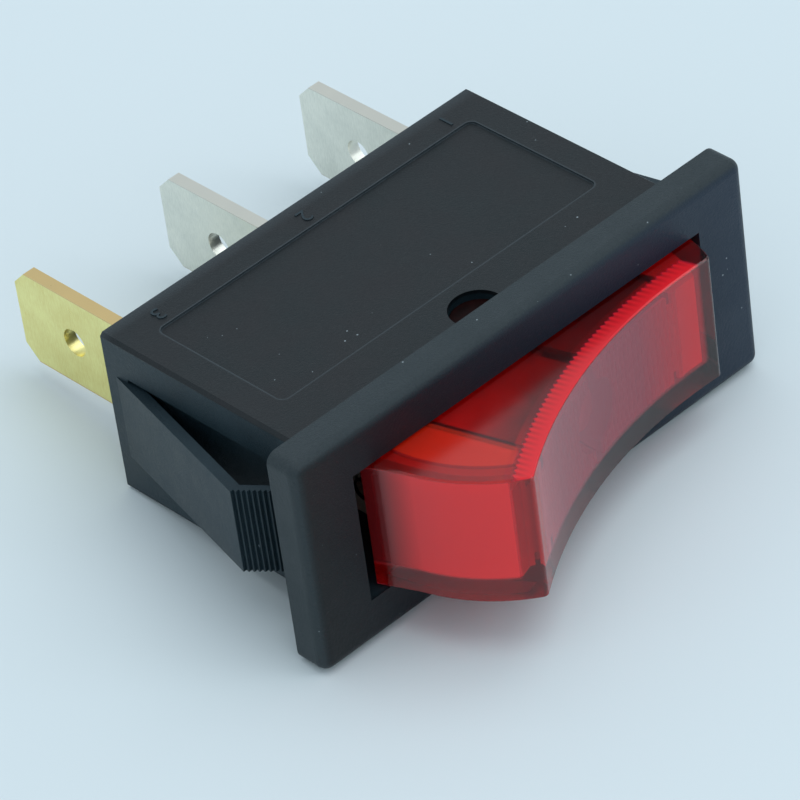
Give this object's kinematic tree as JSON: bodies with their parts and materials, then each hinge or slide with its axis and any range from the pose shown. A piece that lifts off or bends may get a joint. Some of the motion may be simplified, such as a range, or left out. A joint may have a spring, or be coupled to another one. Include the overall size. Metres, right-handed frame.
{
  "type": "panel rocker switch",
  "caption": "Snap-in lighted rocker switch with a clear red rocker in a black bezel and body, sprung side wings and quick-connect tabs at the rear.",
  "frame": {"origin": "centre of the bezel's rear face, which seats on the panel", "axes": "+Y into the panel towards the tabs, -Y out towards the finger, +X along the rocker towards the end that is pressed at rest, +Z across the switch"},
  "size_m": [0.0344, 0.0377, 0.0144],
  "materials": {
    "black_nylon": "moulded, fine spark-eroded texture",
    "red_lens": "clear red moulding, polished outside",
    "tin_plate": "tin plated, slightly dull",
    "bare_brass": "bare, lightly tarnished",
    "white_nylon": "natural nylon",
    "spring_steel": "drawn wire",
    "copper_strip": "rolled",
    "silver_contact": "headed",
    "lamp_envelope": "clear",
    "lamp_rod": "grey, plain",
    "tinned_wire": "tinned",
    "resistor_coat": "lacquered"
  },
  "bodies": {
    "base": {"housing": "black_nylon", "terminal_supply": "tin_plate", "terminal_load": "tin_plate", "terminal_lamp": "bare_brass", "fixed_contact": "silver_contact", "lamp_carrier": "white_nylon", "lamp_glass": "lamp_envelope", "electrode_upper": "lamp_rod", "electrode_lower": "lamp_rod", "lamp_lead_upper": "tinned_wire", "lamp_lead_lower": "tinned_wire", "splice": "tinned_wire", "resistor": "resistor_coat", "resistor_lead_front": "tinned_wire", "resistor_lead_rear": "tinned_wire"},
    "rocker": {"rocker": "red_lens"},
    "plunger": {"plunger": "white_nylon", "plunger_spring": "spring_steel"},
    "arm": {"contact_arm": "copper_strip", "moving_contact": "silver_contact"}
  },
  "joints": [
    {"name": "rocker_pivot", "type": "hinge", "parent": "base", "child": "rocker", "pos_m": [0, 0.0017, 0], "axis": [0, 0, -1], "range_deg": [0, 32]},
    {"name": "plunger_slide", "type": "slide", "parent": "rocker", "child": "plunger", "axis": [0.2756, -0.9613, 0], "range_m": [0, 0.0008], "stiffness_N_per_m": 400, "deforming": ["plunger_spring"]},
    {"name": "arm_fulcrum", "type": "hinge", "parent": "base", "child": "arm", "pos_m": [0, 0.00943, 0], "axis": [0, 0, 1], "range_deg": [0, 12]}
  ],
  "couplings": [
    {"joint": "arm_fulcrum", "follows": "rocker_pivot", "ratio": 0.375}
  ]
}
